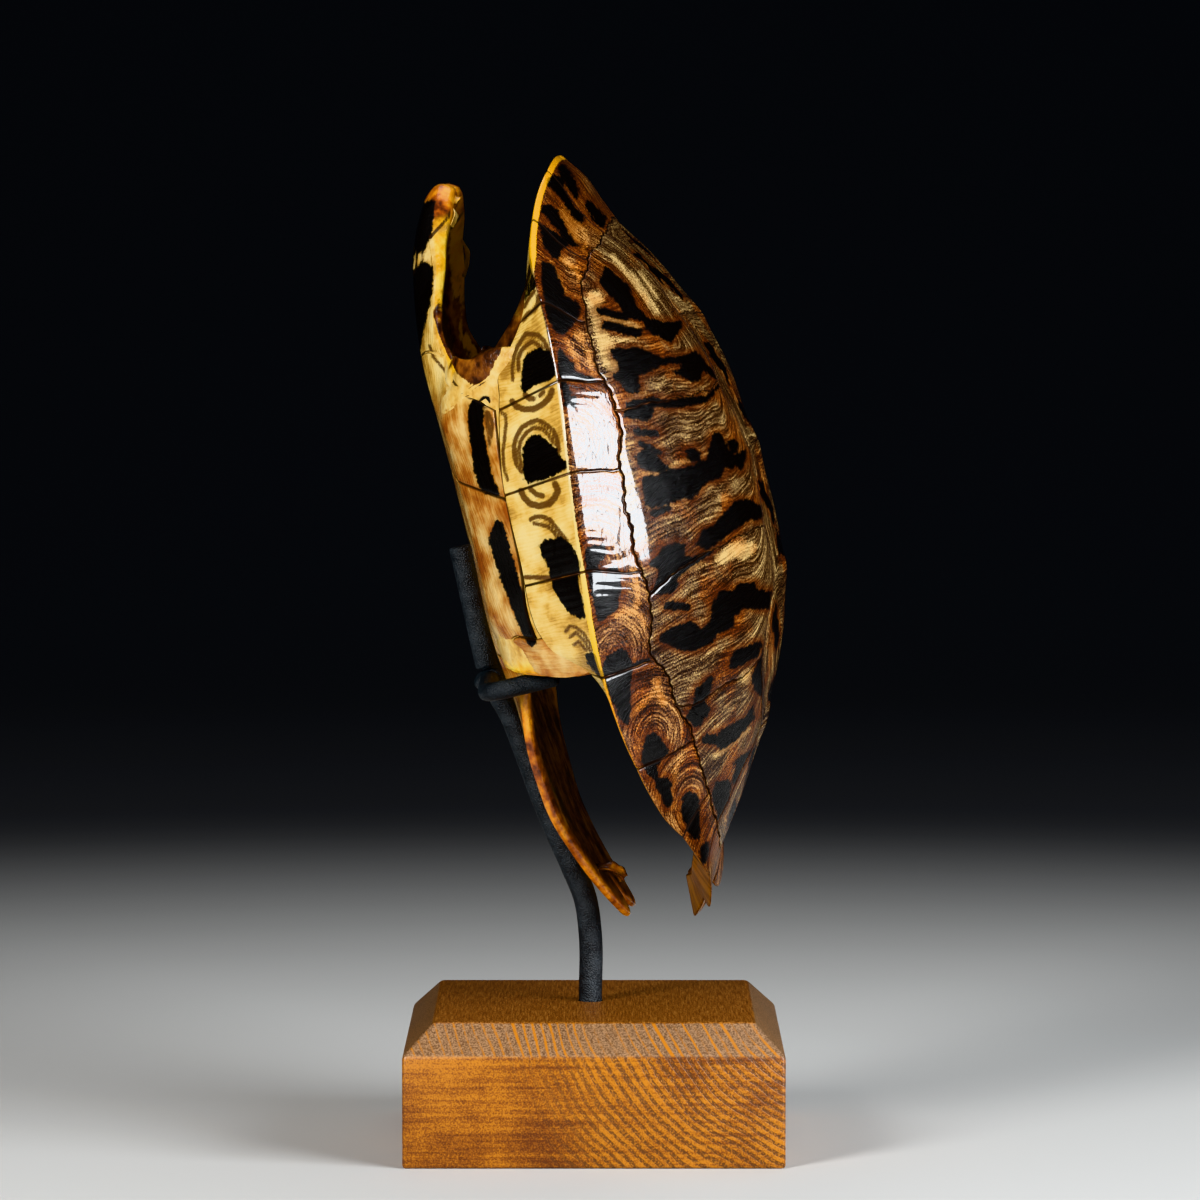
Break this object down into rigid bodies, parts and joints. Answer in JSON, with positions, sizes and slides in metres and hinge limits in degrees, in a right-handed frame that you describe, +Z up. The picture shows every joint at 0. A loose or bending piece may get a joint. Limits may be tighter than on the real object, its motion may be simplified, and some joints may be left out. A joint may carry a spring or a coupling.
{
  "type": "turtle shell on a stand",
  "caption": "Dry slider turtle shell, carapace and plastron joined, set head end up on a bent steel rod cradle over a chamfered wooden block.",
  "frame": {"origin": "centre of the wooden block's underside", "axes": "+Z up; the head end of the shell points up and leans toward -X; +X is the back of the shell; the turtle's left side faces -Y"},
  "size_m": [0.1029, 0.1584, 0.268],
  "materials": {
    "shell": "gloss",
    "wood": "satin",
    "rod": "matte"
  },
  "bodies": {
    "root": {"shell": "shell", "base": "wood", "post": "rod", "cradle": "rod", "rest_rod": "rod"}
  },
  "joints": []
}
